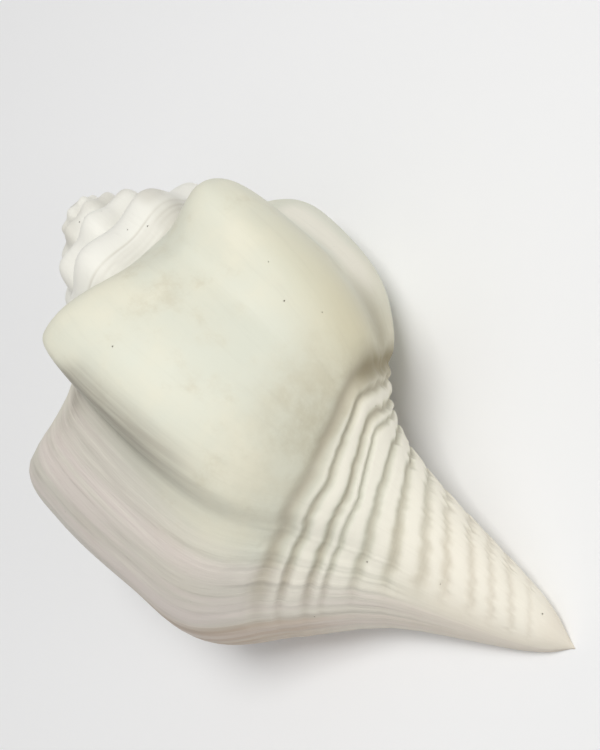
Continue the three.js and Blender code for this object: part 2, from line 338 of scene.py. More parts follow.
    def vault_station(self, turn: np.ndarray, share: np.ndarray) -> np.ndarray:
        """Stations of this whorl that the hollow's outer wall lies under.

        Args:
            turn: one turn for each row, in radians.
            share: place across the wall, from 0 to 1.

        Returns:
            Array of turns by shares.
        """
        last = float(len(self.stations))
        bottom = self.vault_end + (last - self.vault_end) * self.canal_opening(turn)
        return bottom[:, None] * share

    def under_corner(self, profile: np.ndarray, share: np.ndarray, corner: np.ndarray) -> np.ndarray:
        """Keeps the vault's top outside and below the corner where it meets the inner wall.

        Args:
            profile: radius and depth of the vault.
            share: place across the vault, 0 at the upper corner.
            corner: radius and depth of the upper corner.

        Returns:
            The profile, moved where it has to be.
        """
        limit = corner[..., 0] * (1.0 - ease((share - self.clear_hold) / self.clear_fade))
        radius = np.maximum(profile[..., 0], limit)
        return np.stack([radius, np.maximum(profile[..., 1], corner[..., 1])], axis=-1)

    def vault(self, turn: np.ndarray, share: np.ndarray) -> np.ndarray:
        """Outer wall of the hollow, with both edges drawn to where the inner wall ends.

        Args:
            turn: one turn for each row, in radians.
            share: place across the wall, from 0 to 1.

        Returns:
            Array of turns by shares by 3, in millimetres.
        """
        ends = np.array([0.0, 1.0])
        corner = self.outline(turn - TURN, self.pillar_station(turn, ends))[:, :1]
        profiles = [self.inner_outline(turn, self.vault_station(turn, at)) for at in (share, ends)]
        wall = self.place(turn, self.under_corner(profiles[0], share, corner))
        drawn = self.pillar(turn, ends) - self.place(turn, self.under_corner(profiles[1], ends, corner))
        to_top = (1.0 - ease(share / self.draw_top))[:, None]
        to_bottom = ease((share - 1.0 + self.draw_foot) / self.draw_foot)[:, None]
        return wall + drawn[:, :1] * to_top + drawn[:, 1:] * to_bottom


@dataclass(frozen=True)
class Groove:
    """A spiral groove: its station, half width, share of the depth, and drift down towards the lip."""

    station: float
    width: float
    strength: float
    drift: float

    def middle(self, degrees: np.ndarray) -> np.ndarray:
        """Station of its floor: the upper grooves step down over one stretch, the lower ones slope evenly.

        Args:
            degrees: turn of each point in degrees.

        Returns:
            Its station at each turn.
        """
        low = ease((self.station - 6.1) / 0.3)
        step = ease((degrees + 150.0) / 45.0) - 0.18 * bell((degrees + 152.0) / 7.0)
        slope = np.clip((degrees + 185.0) / 90.0, 0.0, 1.0)
        return self.station + self.drift * (step * (1.0 - low) + slope * low)


@dataclass(frozen=True)
class Relief:
    """What growth left on the surface, in millimetres along its normal. Outside, nothing stands proud."""

    grooves: tuple[Groove, ...] = (
        Groove(5.49, 0.105, 1.00, 0.21), Groove(5.70, 0.050, 0.95, 0.22), Groove(5.96, 0.055, 1.00, 0.24),
        Groove(6.12, 0.042, 0.70, 0.26), Groove(6.37, 0.060, 0.85, 0.32), Groove(6.73, 0.052, 0.85, 0.25),
        Groove(7.01, 0.044, 0.64, 0.21), Groove(7.20, 0.034, 0.48, 0.18), Groove(7.39, 0.032, 0.42, 0.17),
        Groove(7.54, 0.030, 0.36, 0.16), Groove(7.69, 0.034, 0.33, 0.17), Groove(7.88, 0.036, 0.22, 0.16),
    )
    groove_depth: float = 1.7
    threads: tuple[float, ...] = (2.84, 2.97, 3.08, 3.19, 3.29)
    thread_depth: float = 0.42
    thread_width: float = 0.030
    wrinkle_depth: float = 1.10
    fine_depth: float = 0.28
    line_depth: float = 0.22
    sway_depth: float = 0.35
    folds: tuple[float, ...] = (5.0, 5.65, 6.3)
    fold_height: float = 1.5
    skin: float = 0.15

    def growth_line(self, degrees: np.ndarray, station: np.ndarray) -> np.ndarray:
        """Turn where the lip stood when this place was laid down: it leans forward below the shoulder."""
        return degrees - 9.0 * ease((station - 3.0) / 3.0) + 0.8 * ripple(station, 0.9, 5)

    def rib_zone(self, degrees: np.ndarray, station: np.ndarray) -> np.ndarray:
        """Where the spiral ribs are strong: they fade out towards the lip, sooner near the canal's end."""
        fades_from = -97.0 + 27.0 * (1.0 - ease((station - 6.2) / 1.2))
        return 1.0 - 0.92 * ease((degrees - fades_from) / 38.0)

    def groove(self, degrees: np.ndarray, station: np.ndarray) -> np.ndarray:
        """Spiral grooves as a value from 0 to 1: a bell across each one, rougher where the ribs are oldest.

        Args:
            degrees: turn of each point in degrees.
            station: station of each point, or of each column.

        Returns:
            Values from 0 to 1.
        """
        rough = 1.0 + 1.6 * ease((-158.0 - degrees) / 12.0)
        sway = 0.011 * ripple(degrees, 7.0, 11) + 0.008 * ripple(degrees + 40.0 * station, 4.0, 12)
        total = np.zeros(np.broadcast(degrees, station).shape)
        for groove in self.grooves:
            across = (station - groove.middle(degrees) - rough * sway) / groove.width
            total = np.maximum(total, groove.strength * bell(across))
        return total * self.rib_zone(degrees, station)

    def fine(self, degrees: np.ndarray, station: np.ndarray) -> np.ndarray:
        """Fine uneven ridges along the ribs, from 0 to 1: a random wave in the station.

        Args:
            degrees: turn of each point in degrees.
            station: station of each point, or of each column.

        Returns:
            Values from 0 to 1.
        """
        slope = 0.0026 * (degrees + 150.0)
        ribbed = ease((station - 5.45) / 0.1) * (1.0 - ease((station - 8.0) / 0.5))
        wave = ripple(station - slope + 0.01 * ripple(degrees, 8.0, 14), 0.085, 13)
        return 0.5 * (1.0 - wave) * ribbed * self.rib_zone(degrees, station)

    def thread(self, degrees: np.ndarray, station: np.ndarray) -> np.ndarray:
        """Fine spiral threads just above the suture, from 0 to 1.

        Args:
            degrees: turn of each point in degrees.
            station: station of each point, or of each column.

        Returns:
            Values from 0 to 1.
        """
        sway = 0.012 * ripple(degrees, 9.0, 21)
        total = sum(bell((station - middle + sway) / self.thread_width) for middle in self.threads)
        shown = ease((-345.0 - degrees) / 15.0) * (1.0 - ease((-560.0 - degrees) / 60.0))
        return np.clip(total, 0.0, 1.0) * shown

    def wrinkle(self, degrees: np.ndarray, station: np.ndarray) -> np.ndarray:
        """Folds across the ribs and along the lip side, from 0 to 1: a random wave in the growth line.

        Args:
            degrees: turn of each point in degrees.
            station: station of each point, or of each column.

        Returns:
            Values from 0 to 1.
        """
        line = self.growth_line(degrees, station)
        wave = 0.62 * ripple(line, 2.6, 31) + 0.38 * ripple(line + 0.7 * ripple(station, 0.35, 32), 1.3, 33)
        band = bell((line + 76.0) / 15.0) * ease((station - 5.2) / 0.4) * (1.0 - ease((station - 6.7) / 0.6))
        low = ease((station - 4.6) / 1.4) * (1.0 - ease((station - 7.0) / 0.8))
        side = 0.5 * ease((line + 66.0) / 20.0) * low
        return 0.5 * (1.0 - wave) * np.clip(1.7 * band + side, 0.0, 1.0)

    def line(self, degrees: np.ndarray, station: np.ndarray) -> np.ndarray:
        """Fine growth lines over everything, from 0 to 1, weak on the smooth face.

        Args:
            degrees: turn of each point in degrees.
            station: station of each point, or of each column.

        Returns:
            Values from 0 to 1.
        """
        line = self.growth_line(degrees, station)
        shown = 0.25 + 0.75 * ease((line + 104.0) / 16.0) * (1.0 - ease((station - 6.6) / 0.6))
        return 0.5 * shown * (1.0 - 0.6 * ripple(line, 1.7, 41) - 0.4 * ripple(line, 4.3, 42))

    def outside(self, degrees: np.ndarray, station: np.ndarray) -> np.ndarray:
        """Relief of the outside: every part is cut into the surface.

        Args:
            degrees: turn of each point in degrees.
            station: station of each point.

        Returns:
            Height of each point along its normal, 0 or less.
        """
        size = np.exp(np.radians(np.minimum(degrees + 120.0, 0.0)) * RATE)
        settled = ease(station / 0.2) * ease((9.0 - station) / 0.5)
        spire = ease((-340.0 - degrees) / 20.0)
        settled = settled * (1.0 - spire * ease((station - 3.3) / 0.09))
        cut = self.groove_depth * self.groove(degrees, station)
        cut = cut + self.fine_depth * self.fine(degrees, station)
        cut = cut + self.thread_depth * self.thread(degrees, station)
        cut = cut + self.wrinkle_depth * self.wrinkle(degrees, station)
        cut = cut + self.line_depth * self.line(degrees, station)
        sway = ripple(degrees, 23.0, 51) * ripple(station, 0.8, 52)
        cut = cut + self.sway_depth * 0.5 * (1.0 - sway)
        return -self.skin - cut * settled * size

    def pillar(self, degrees: np.ndarray, turn_in: np.ndarray, station: np.ndarray) -> np.ndarray:
        """Relief of the inner wall: the ribs drown in the glaze, and three folds wind round the pillar.

        Args:
            degrees: turn of each point in degrees.
            turn_in: how far in from the lip the point is, in degrees.
            station: station of each point.

        Returns:
            Height of each point along its normal.
        """
        glaze = ease(turn_in / 16.0)
        folds = sum(bell((station - middle) / 0.14) for middle in self.folds)
        grown = ease((turn_in - 8.0) / 40.0)
        return self.outside(degrees, station) * (1.0 - glaze) + self.fold_height * folds * grown


@dataclass
class Sheet:
    """One grid of points in millimetres with the growth turn, station and relief of each."""

    layer: Layer
    points: np.ndarray
    degrees: np.ndarray
    station: np.ndarray
    relief: np.ndarray

    def faces(self, first: int) -> np.ndarray:
        """Four corners of each cell, counted from the sheet's first point, wound to face out of the wall.

        Args:
            first: number of the first point among all the sheets.

        Returns:
            Array of cells by 4.
        """
        rows, columns = self.points.shape[:2]
        corner = first + np.arange(rows * columns).reshape(rows, columns)
        quads = np.stack([corner[:-1, :-1], corner[1:, :-1], corner[1:, 1:], corner[:-1, 1:]], axis=-1)
        quads = quads.reshape(-1, 4)
        return quads[:, ::-1] if self.layer == Layer.PILLAR else quads


@dataclass(frozen=True)
class Pose:
    """How the shell lies: degrees about its axis, about Y, about Z, and the depth in mm worn flat."""

    spin: float = 70.0
    dip: float = 72.95
    heading: float = 180.0
    worn: float = 1.0

    def rotation(self) -> np.ndarray:
        """The three turns as one matrix.

        Returns:
            Array of 3 by 3.
        """
        turns = (("Z", self.heading), ("Y", self.dip), ("Z", self.spin))
        heading, dip, spin = (Matrix.Rotation(math.radians(angle), 3, axis) for axis, angle in turns)
        return np.array(heading @ dip @ spin)


@dataclass
class ShellBody:
    """The whole shell as one closed mesh: spire, last whorl, lip, and the hollow behind the mouth."""

    growth: Growth
    relief: Relief
    pose: Pose
    whorl_turns: int = 5
    fine_from: float = -205.0
    fine_to: float = -20.0
    fine_step: float = 1.0
    coarse_step: float = 1.6
    hollow_reach: float = 585.0
    lip_rows: int = 5
    lip_bulge: float = 0.45
    apex_rise: float = 0.5
    sharp_angle: float = 62.0

    def row_degrees(self) -> np.ndarray:
        """Turns of the rows of one whorl, closer together where the ribs cross the fold.

        Returns:
            Turns in degrees, from -360 to 0.
        """
        counts = (
            round((360.0 + self.fine_from) / self.coarse_step),
            round((self.fine_to - self.fine_from) / self.fine_step),
            round(-self.fine_to / self.coarse_step),
        )
        edges = (-360.0, self.fine_from, self.fine_to, 0.0)
        spans = [np.linspace(a, b, n, endpoint=False) for a, b, n in zip(edges, edges[1:], counts)]
        return np.concatenate(spans + [np.zeros(1)])

    def upper_stations(self) -> np.ndarray:
        """Stations of the columns from the suture to the next suture."""
        return self.spread((0.0, 1.0, 2.0, 2.6, self.growth.suture), (5, 6, 5, 14))

    def lower_stations(self) -> np.ndarray:
        """Stations of the columns below the suture, close together across the ribs."""
        last = float(len(self.growth.stations))
        return self.spread((self.growth.suture, 5.2, 8.5, last), (17, 122, 7))

    @staticmethod
    def spread(edges: tuple[float, ...], counts: tuple[int, ...]) -> np.ndarray:
        """Evenly spread values within each pair of edges."""
        spans = [np.linspace(a, b, n, endpoint=False) for a, b, n in zip(edges, edges[1:], counts)]
        return np.concatenate(spans + [np.array([edges[-1]])])

    def outside_sheet(self, degrees: np.ndarray, station: np.ndarray) -> Sheet:
        """A sheet of the outside over the given turns and stations.

        Args:
            degrees: turn of each point in degrees.
            station: station of each point, or of each column.

        Returns:
            The sheet.
        """
        turn = np.radians(degrees)
        points = self.growth.place(turn, self.growth.outline(turn, station))
        grid = np.broadcast_arrays(degrees[:, None], station[None, :])
        return Sheet(Layer.OUTSIDE, points, grid[0], grid[1], self.relief.outside(*grid))

    def hollow_degrees(self) -> np.ndarray:
        """Turns of the rows of the hollow, from the lip inwards.

        Returns:
            Turns in degrees, from 0 down.
        """
        near = np.array([0.0, 1.5, 3.0, 5.0, 8.0, 12.0, 17.0, 23.0, 30.0, 40.0, 50.0, 60.0])
        deep = np.linspace(60.0, self.hollow_reach, 23)[1:]
        return -np.concatenate([near, deep])

    def pillar_sheet(self) -> Sheet:
        """The inner wall of the hollow.

        Returns:
            The sheet.
        """
        low, last = self.growth.suture, float(len(self.growth.stations))
        degrees = self.hollow_degrees()
        turn = np.radians(degrees)
        share = (self.lower_stations() - low) / (last - low)
        station = self.growth.pillar_station(turn, share)
        grown = np.broadcast_to((degrees - 360.0)[:, None], station.shape)
        inwards = np.broadcast_to(-degrees[:, None], station.shape)
        relief = self.relief.pillar(grown, inwards, station)
        return Sheet(Layer.PILLAR, self.growth.pillar(turn, share), grown, station, relief)

    def vault_sheet(self) -> Sheet:
        """The outer wall of the hollow.

        Returns:
            The sheet.
        """
        degrees = self.hollow_degrees()
        turn = np.radians(degrees)
        columns = np.concatenate([self.upper_stations(), self.lower_stations()[1:]])
        share = columns / len(self.growth.stations)
        station = self.growth.vault_station(turn, share)
        points = self.growth.vault(turn, share)
        grown = np.broadcast_to(degrees[:, None], station.shape)
        return Sheet(Layer.VAULT, points, grown, station, np.zeros(station.shape))

    def lip_sheet(self, outer: Sheet, vault: Sheet) -> Sheet:
        """The lip's rounded edge: straight from the outside to the vault, plus half a sine wave forwards.

        Args:
            outer: the outside of the last whorl.
            vault: the outer wall of the hollow.

        Returns:
            The sheet.
        """
        share = np.linspace(0.0, 1.0, self.lip_rows)[:, None]
        start, end = outer.points[-1], vault.points[0]
        bulge = self.lip_bulge * np.linalg.norm(end - start, axis=-1) * np.sin(math.pi * share)
        points = start + (end - start) * share[..., None]
        points[..., 1] -= bulge
        grid = np.broadcast_arrays(np.zeros((self.lip_rows, 1)), outer.station[-1])
        relief = outer.relief[-1] * (1.0 - share) ** 0.5
        return Sheet(Layer.LIP, points, grid[0], grid[1], relief)

    def sheets(self) -> list[Sheet]:
        """Every sheet of the closed surface, apart from the cap on the apex and the hollow's end.

        Returns:
            The spire, the last whorl, the lip, the vault and the pillar.
        """
        rows = self.row_degrees()
        upper, lower = self.upper_stations(), self.lower_stations()
        early = [rows[:-1] - 360.0 * k for k in range(self.whorl_turns - 1, 0, -1)]
        spire = self.outside_sheet(np.concatenate(early + [rows[:1]]), upper)
        body = self.outside_sheet(rows, np.concatenate([upper, lower[1:]]))
        pillar, vault = self.pillar_sheet(), self.vault_sheet()
        return [spire, body, self.lip_sheet(body, vault), vault, pillar]

    @staticmethod
    def gather(sheets: list[Sheet]) -> tuple[np.ndarray, np.ndarray, np.ndarray]:
        """Puts the sheets' points and triangles one after another, each cell cut in two.

        Args:
            sheets: every sheet, in order.

        Returns:
            All the points, each triangle's three corners among them, and each sheet's first point.
        """
        loose = np.concatenate([sheet.points.reshape(-1, 3) for sheet in sheets])
        firsts = np.cumsum([0] + [sheet.points.shape[0] * sheet.points.shape[1] for sheet in sheets])
        quads = np.concatenate([sheet.faces(first) for sheet, first in zip(sheets, firsts)])
        triangles = np.concatenate([quads[:, [0, 1, 2]], quads[:, [0, 2, 3]]])
        return loose, triangles, firsts

    def rims(self, sheets: list[Sheet], firsts: np.ndarray) -> tuple[np.ndarray, np.ndarray]:
        """Loops of points round the two open ends: the apex, and the deep end of the hollow.

        Args:
            sheets: every sheet, in order.
            firsts: each sheet's first point.

        Returns:
            The points round the apex, and those round the hollow's end.
        """
        spire, _, _, vault, pillar = sheets
        rows = len(self.row_degrees())
        columns = spire.points.shape[1]
        free_edge = np.arange(rows) * columns
        first_row = np.arange(columns - 1, 0, -1)
        apex = np.concatenate([free_edge[:-1], first_row])
        v_columns, p_columns = vault.points.shape[1], pillar.points.shape[1]
        v_row = firsts[3] + (vault.points.shape[0] - 1) * v_columns + np.arange(v_columns)
        p_row = firsts[4] + (pillar.points.shape[0] - 1) * p_columns + np.arange(p_columns)
        return apex, np.concatenate([v_row, p_row[-2:0:-1]])

    def build(self) -> bpy.types.Object:
        """Builds the mesh, welds it, cuts its relief and lays it down.

        Returns:
            The shell's object, at the origin with its place in its mesh.
        """
        sheets = self.sheets()
        loose, triangles, firsts = self.gather(sheets)
        apex, deep = self.rims(sheets, firsts)
        tips = np.array([loose[apex].mean(axis=0), loose[deep].mean(axis=0)])
        tips[0, 2] = loose[apex, 2].max() + self.apex_rise
        count = len(loose)
        caps = [
            np.stack([np.full(len(apex), count), np.roll(apex, -1), apex], axis=-1),
            np.stack([np.full(len(deep), count + 1), np.roll(deep, -1), deep], axis=-1),
        ]
        loose = np.concatenate([loose, tips])
        triangles = np.concatenate([triangles] + caps)
        _, keep, joined = np.unique(np.round(loose, WELD), axis=0, return_index=True, return_inverse=True)
        joined = joined.reshape(-1)
        corners = joined[triangles]
        whole = (corners != np.roll(corners, 1, axis=1)).all(axis=1)
        corners, triangles = corners[whole], triangles[whole]
        points = loose[keep]
        fields = self.fields(sheets, joined, len(points))
        points = points + self.normals(points, corners) * fields["relief"][:, None]
        points = self.lay_down(points)
        mesh = bpy.data.meshes.new("conch")
        mesh.from_pydata(points * MM, [], corners)
        mesh.shade_smooth()
        mesh.set_sharp_from_angle(angle=math.radians(self.sharp_angle))
        self.write_fields(mesh, fields)
        self.write_uv(mesh, sheets, triangles)
        piece = bpy.data.objects.new("conch_shell", mesh)
        bpy.context.scene.collection.objects.link(piece)
        return piece

    def fields(self, sheets: list[Sheet], joined: np.ndarray, count: int) -> dict[str, np.ndarray]:
        """Values that the finish reads, one for each welded point: the mean of the points welded there.

        Args:
            sheets: every sheet, in order.
            joined: the point that each loose point was joined into.
            count: how many joined points there are.

        Returns:
            One array for each value, by name.
        """
        def welded(values: list[np.ndarray]) -> np.ndarray:
            """Means over the points joined into one, with 0 at the two caps' tips.

            Args:
                values: one grid of values for each sheet.

            Returns:
                One value for each joined point.
            """
            flat = np.concatenate([value.reshape(-1) for value in values] + [np.zeros(2)])
            total = np.bincount(joined, flat, count)
            return total / np.bincount(joined, minlength=count)

        marks = Markings(self.relief)
        named = {"relief": welded([sheet.relief for sheet in sheets])}
        for name in marks.NAMES:
            named[name] = welded([marks.field(name, sheet) for sheet in sheets])
        return named

    @staticmethod
    def normals(points: np.ndarray, corners: np.ndarray) -> np.ndarray:
        """Normal of each point: the sum of the area normals of its triangles, made one long.

        Args:
            points: the points in millimetres.
            corners: each triangle's three points.

        Returns:
            Array of points by 3.
        """
        a, b, c = (points[corners[:, k]] for k in range(3))
        area = np.cross(b - a, c - a)
        total = np.stack([
            sum(np.bincount(corners[:, k], area[:, axis], len(points)) for k in range(3)) for axis in range(3)
        ], axis=-1)
        return total / np.maximum(np.linalg.norm(total, axis=-1, keepdims=True), 1e-9)

    def lay_down(self, points: np.ndarray) -> np.ndarray:
        """Turns the shell onto its mouth, centres it in its CAD box and wears flat what would sink in.

        Args:
            points: the points in millimetres.

        Returns:
            The points where they lie.
        """
        low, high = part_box(NODE)
        middle = (np.array(low) + np.array(high)) / (2.0 * MM)
        laid = points @ self.pose.rotation().T
        laid[:, :2] += middle[:2] - (laid[:, :2].min(axis=0) + laid[:, :2].max(axis=0)) / 2.0
        laid[:, 2] -= laid[:, 2].min() + self.pose.worn
        laid[:, 2] = np.maximum(laid[:, 2], 0.0)
        return laid

    @staticmethod
    def write_fields(mesh: bpy.types.Mesh, fields: dict[str, np.ndarray]) -> None:
        """Puts each value on the mesh's points as an attribute."""
        for name, values in fields.items():
            mesh.attributes.new(name, "FLOAT", "POINT").data.foreach_set("value", values.astype(np.float32))

    @staticmethod
    def write_uv(mesh: bpy.types.Mesh, sheets: list[Sheet], triangles: np.ndarray) -> None:
        """UV map of the growth: turns along U, and a ninth of the station along V.

        Args:
            mesh: the mesh to write to.
            sheets: every sheet, in order.
            triangles: each triangle's three loose points.
        """
        degrees = np.concatenate([sheet.degrees.reshape(-1) for sheet in sheets] + [np.full(2, -1800.0)])
        station = np.concatenate([sheet.station.reshape(-1) for sheet in sheets] + [np.zeros(2)])
        grown = np.stack([degrees / 360.0, station / 9.0], axis=-1)[triangles.reshape(-1)]
        layer = mesh.uv_layers.new(name="growth")
        layer.data.foreach_set("uv", grown.reshape(-1).astype(np.float32))


@dataclass(frozen=True)
class Markings:
    """Where each colour of the finish lies, as values from 0 to 1 worked out from turn and station."""

    relief: Relief
    NAMES = (
        "furrow", "stain_and_shade", "lip_side", "tan", "grime", "neck_dirt_and_shade", "chalk", "rim", "glaze", "canal", "crest",
    )

    def field(self, name: str, sheet: Sheet) -> np.ndarray:
        """One marking over one sheet.

        Args:
            name: one of NAMES.
            sheet: the sheet whose points are marked.

        Returns:
            Array of the sheet's rows by columns.
        """
        if name == "glaze":
            return self.glaze(sheet)
        if sheet.layer in (Layer.VAULT, Layer.PILLAR):
            return np.zeros(sheet.station.shape)
        return getattr(self, name)(sheet.degrees, sheet.station)

    def glaze(self, sheet: Sheet) -> np.ndarray:
        """Porcelain inside the mouth: all the vault, and the inner wall from a little way in.

        Args:
            sheet: the sheet to mark.

        Returns:
            Array of the sheet's rows by columns.
        """
        if sheet.layer == Layer.VAULT:
            return np.ones(sheet.station.shape)
        if sheet.layer == Layer.PILLAR:
            return ease((-360.0 - sheet.degrees) / 14.0)
        if sheet.layer == Layer.LIP:
            rows = np.linspace(0.0, 1.0, sheet.station.shape[0])[:, None]
            return np.broadcast_to(ease(rows), sheet.station.shape)
        return np.zeros(sheet.station.shape)

    def furrow(self, degrees: np.ndarray, station: np.ndarray) -> np.ndarray:
        """Floors of the spiral grooves and of the threads, which the finish darkens as painted shade."""
        thread = 0.6 * self.relief.thread(degrees, station)
        return np.clip(self.relief.groove(degrees, station) + thread, 0.0, 1.0)

    def stain_and_shade(self, degrees: np.ndarray, station: np.ndarray) -> np.ndarray:
        """Grey-brown streaks in the fold between the first two knobs, with painted shade in its crease, sharp
        towards the older one.

        Args:
            degrees: turn of each point in degrees.
            station: station of each point, or of each column.

        Returns:
            Values from 0 to 1.
        """
        core = -94.0 + 12.5 * np.maximum(station - 4.2, 0.0) ** 2 + 13.0 * ease((3.1 - station) / 0.9)
        width = np.where(degrees < core, 5.0 + 1.5 * np.maximum(station - 4.0, 0.0), 14.0)
        along = ease((station - 1.9) / 0.7) * (1.0 - ease((station - 3.7) / 1.5))
        return along * bell((degrees - core) / width)

    def lip_side(self, degrees: np.ndarray, station: np.ndarray) -> np.ndarray:
        """The newest shell, from the fold to the lip."""
        line = degrees - 5.0 * (station - 3.4)
        return ease((line + 88.0) / 16.0) * ease((station - 1.2) / 1.2)

    def tan(self, degrees: np.ndarray, station: np.ndarray) -> np.ndarray:
        """Yellowish brown along the third knob's ridge, partly painted shade on its far flank, deeper towards
        the waist.
        """
        ridge = 0.9 * bell((degrees + 164.0) / 15.0) * ease((station - 2.4) / 2.6)
        return ridge * (1.0 - ease((station - 5.0) / 0.6))

    def grime(self, degrees: np.ndarray, station: np.ndarray) -> np.ndarray:
        """Mottled brownish bloom on the last whorl above the first rib, deepest towards the far side.

        Args:
            degrees: turn of each point in degrees.
            station: station of each point, or of each column.

        Returns:
            Values from 0 to 1.
        """
        along = 1.0 - 0.6 * ease((degrees + 130.0) / 36.0)
        newest = 1.0 - ease((degrees + 88.0) / 16.0)
        return along * newest * ease((station - 4.3) / 1.0) * (1.0 - ease((station - 5.6) / 0.1))

    def neck_dirt_and_shade(self, degrees: np.ndarray, station: np.ndarray) -> np.ndarray:
        """Dirt and painted shade in the waist above the first rib, and a strip of painted shadow up the far
        side of the third knob's ridge.

        Args:
            degrees: turn of each point in degrees.
            station: station of each point, or of each column.

        Returns:
            Values from 0 to 1.
        """
        along = ease((-146.0 - degrees) / 22.0) * (1.0 - ease((-222.0 - degrees) / 30.0))
        # painted shadow: a dark strip between the third knob's ridge and the next knob
        strip = bell((degrees + 194.0) / 15.0) * ease((station - 3.9) / 0.9)
        strip = strip * (1.0 - ease((station - 5.3) / 0.3))
        return np.maximum(along * bell((station - 5.44) / 0.2), 0.55 * strip)

    def chalk(self, degrees: np.ndarray, station: np.ndarray) -> np.ndarray:
        """Whiter, worn older whorls."""
        return ease((-340.0 - degrees) / 120.0)

    def rim(self, degrees: np.ndarray, station: np.ndarray) -> np.ndarray:
        """Warm brown towards the lip, strongest below the shoulder."""
        along = ease((station - 3.4) / 1.2) * (1.0 - 0.8 * ease((station - 6.0) / 0.8))
        return ease((degrees + 47.0) / 10.0) * along

    def canal(self, degrees: np.ndarray, station: np.ndarray) -> np.ndarray:
        """Pinkish cream along the canal."""
        return ease((station - 6.4) / 1.4)

    def crest(self, degrees: np.ndarray, station: np.ndarray) -> np.ndarray:
        """Painted light: lighter crests between the spiral grooves, and a lighter flank behind the third
        knob.

        Args:
            degrees: turn of each point in degrees.
            station: station of each point, or of each column.

        Returns:
            Values from 0 to 1.
        """
        ribbed = ease((station - 5.56) / 0.08) * (1.0 - ease((station - 7.9) / 0.5))
        ribbed = ribbed * self.relief.rib_zone(degrees, station)
        ribbed = ribbed * (1.0 - np.clip(2.2 * self.relief.groove(degrees, station), 0.0, 1.0))
        along = ease((station - 2.2) / 0.8) * (1.0 - ease((station - 4.0) / 0.8))
        flank = 1.3 * bell((degrees + 207.0) / 10.0) * along
        return np.clip(np.maximum(ribbed, flank), 0.0, 1.0)


class Signal:
    """A shader socket that Python's operators work on, each adding one Math node."""

    def __init__(self, graph: "ShaderGraph", socket: bpy.types.NodeSocket) -> None:
        """Wraps a socket of a graph."""
        self.graph = graph
        self.socket = socket

    def math(self, operation: str, other: "Signal | float", flipped: bool = False) -> "Signal":
        """One Math node on this socket and another value, the other way round if flipped."""
        values = {0: other, 1: self} if flipped else {0: self, 1: other}
        return self.graph.node("ShaderNodeMath", {"operation": operation}, values)

    def __add__(self, other: "Signal | float") -> "Signal":
        """Sum."""
        return self.math("ADD", other)

    def __radd__(self, other: float) -> "Signal":
        """Sum with a number on the left."""
        return self.math("ADD", other, True)

    def __sub__(self, other: "Signal | float") -> "Signal":
        """Difference."""
        return self.math("SUBTRACT", other)

    def __rsub__(self, other: float) -> "Signal":
        """Difference from a number."""
        return self.math("SUBTRACT", other, True)

    def __mul__(self, other: "Signal | float") -> "Signal":
        """Product."""
        return self.math("MULTIPLY", other)

    def __rmul__(self, other: float) -> "Signal":
        """Product with a number on the left."""
        return self.math("MULTIPLY", other, True)

    def __pow__(self, other: float) -> "Signal":
        """Power."""
        return self.math("POWER", other)

    def between(self, low: float, high: float) -> "Signal":
        """0 below low and 1 above high, with a smooth step between."""
        values = {"Value": self, "From Min": low, "From Max": high}
        return self.graph.node("ShaderNodeMapRange", {"interpolation_type": "SMOOTHSTEP"}, values)


class ShaderGraph:
    """A material's node tree, built by calls that return the sockets they make."""

    def __init__(self, name: str) -> None:
        """Starts a material with a Principled shader and its output.

        Args:
            name: name of the material.
        """
        self.material = bpy.data.materials.new(name)
        self.material.use_nodes = True
        self.tree = self.material.node_tree
        self.tree.nodes.clear()
        self.shader = self.tree.nodes.new("ShaderNodeBsdfPrincipled")
        output = self.tree.nodes.new("ShaderNodeOutputMaterial")
        self.tree.links.new(self.shader.outputs["BSDF"], output.inputs["Surface"])

    def put(self, socket: bpy.types.NodeSocket, value: object) -> None:
        """Links a signal to a socket, or sets the socket's own value.

        Args:
            socket: the socket to feed.
            value: a signal or a plain value.
        """
        if isinstance(value, Signal):
            self.tree.links.new(value.socket, socket)
        else:
            socket.default_value = value

    def node(self, kind: str, settings: dict[str, object], values: dict[str | int, object],
             output: str | int = 0) -> Signal:
        """Adds a node.

        Args:
            kind: the node's type.
            settings: properties of the node, set first.
            values: a value or a signal for each input named or numbered.
            output: which output to return.

        Returns:
            The chosen output.
        """
        made = self.tree.nodes.new(kind)
        for name, value in settings.items():
            setattr(made, name, value)
        for key, value in values.items():
            self.put(made.inputs[key], value)
        return Signal(self, made.outputs[output])

    def mask(self, name: str) -> Signal:
        """One of the mesh's own values."""
        return self.node("ShaderNodeAttribute", {"attribute_name": name}, {}, "Fac")

    def grown(self, across: float, along: float) -> Signal:
        """The growth UV map, stretched: turns by across and stations by along."""
        uv = self.node("ShaderNodeUVMap", {"uv_map": "growth"}, {})
        return self.node("ShaderNodeMapping", {}, {"Vector": uv, "Scale": (across, along, 1.0)})

    def noise(self, place: Signal, scale: float, detail: float = 3.0, rough: float = 0.5) -> Signal:
        """Smooth noise at a place, about a half on average."""
        values = {"Vector": place, "Scale": scale, "Detail": detail, "Roughness": rough}
        return self.node("ShaderNodeTexNoise", {}, values)

    def blend(self, share: "Signal | float", base: object, over: object) -> Signal:
        """Mixes two colours: the base where share is 0, and the other where it is 1."""
        return self.node("ShaderNodeMix", {"data_type": "RGBA"}, {0: share, 6: base, 7: over}, 2)

    def bump(self, height: Signal, distance: float, below: Signal | None = None) -> Signal:
        """A Bump node, on top of another one if given.

        Args:
            height: height to bump by, from 0 to 1.
            distance: how high 1 stands, in metres.
            below: a bump already made.

        Returns:
            The bumped normal.
        """
        values: dict[str | int, object] = {"Height": height, "Distance": distance, "Strength": 1.0}
        if below is not None:
            values["Normal"] = below
        return self.node("ShaderNodeBump", {}, values)

    def wire(self, values: dict[str, object]) -> bpy.types.Material:
        """Sets the shader's sockets and returns the material.

        Args:
            values: a value or a signal for each socket named.

        Returns:
            The finished material.
        """
        for key, value in values.items():
            self.put(self.shader.inputs[key], value)
        return self.material


